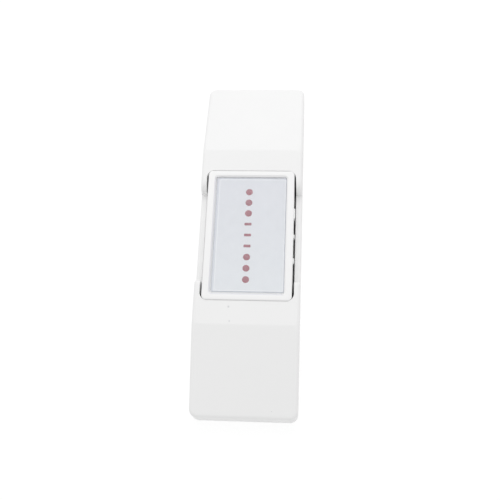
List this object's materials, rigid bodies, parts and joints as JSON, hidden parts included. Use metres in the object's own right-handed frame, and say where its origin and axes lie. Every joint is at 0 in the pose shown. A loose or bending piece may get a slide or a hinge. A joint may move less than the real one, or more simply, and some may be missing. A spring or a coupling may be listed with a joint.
{
  "type": "panic button",
  "caption": "Slim surface-mounted panic button: a long housing with sloping ends and a big sprung press plate that works a snap switch behind it.",
  "frame": {"origin": "centre of the flat back face, on the surface that the device is fixed to or lies on", "axes": "+Y along the length to the upper end where the cable enters, +X to the right seen from the front, +Z out of the front, along the button's return"},
  "size_m": [0.04, 0.138, 0.0166],
  "materials": {
    "cover_white": "fine satin, moulded",
    "plate_white": "satin, moulded",
    "button_white": "fine satin, moulded",
    "window_clear": "polished clear plastic",
    "label_silver": "silver-grey film with dark red marks",
    "spring_steel": "bright drawn wire and strip",
    "screw_steel": "zinc plated",
    "contact_brass": "satin",
    "board_green": "solder resist over glass fibre",
    "switch_black": "matt, moulded",
    "plunger_red": "satin",
    "terminal_green": "satin, moulded"
  },
  "bodies": {
    "base": {"front_cover": "cover_white", "back_plate": "plate_white", "return_spring_upper": "spring_steel", "return_spring_lower": "spring_steel", "circuit_board": "board_green", "board_screw_1": "screw_steel", "board_screw_2": "screw_steel", "board_screw_3": "screw_steel", "board_screw_4": "screw_steel", "switch_body": "switch_black", "switch_lever_pin": "screw_steel", "switch_pin_1": "contact_brass", "switch_pin_2": "contact_brass", "switch_pin_3": "contact_brass", "terminal_block": "terminal_green", "terminal_clamp_1": "contact_brass", "terminal_clamp_2": "contact_brass", "terminal_clamp_3": "contact_brass", "terminal_clamp_4": "contact_brass", "terminal_screw_1": "screw_steel", "terminal_screw_2": "screw_steel", "terminal_screw_3": "screw_steel", "terminal_screw_4": "screw_steel"},
    "button": {"button_frame": "button_white", "button_window": "window_clear", "label_card": "label_silver"},
    "lever": {"switch_lever": "spring_steel"},
    "plunger": {"switch_plunger": "plunger_red"}
  },
  "joints": [
    {"name": "button_press", "type": "slide", "parent": "base", "child": "button", "axis": [0, 0, -1], "range_m": [0, 0.0015], "stiffness_N_per_m": 1500, "springref_m": -0.001, "deforming": ["return_spring_upper", "return_spring_lower"]},
    {"name": "lever_tilt", "type": "hinge", "parent": "base", "child": "lever", "pos_m": [0, 0.0085, 0.0114], "axis": [1, 0, 0], "range_deg": [0, 5.74], "stiffness_Nm_per_rad": 0.004},
    {"name": "plunger_press", "type": "slide", "parent": "base", "child": "plunger", "axis": [0, 0, -1], "range_m": [0, 0.00055]}
  ],
  "couplings": [
    {"joint": "lever_tilt", "follows": "button_press", "rad_per_m": 66.7},
    {"joint": "plunger_press", "follows": "button_press", "ratio": 0.3666}
  ]
}
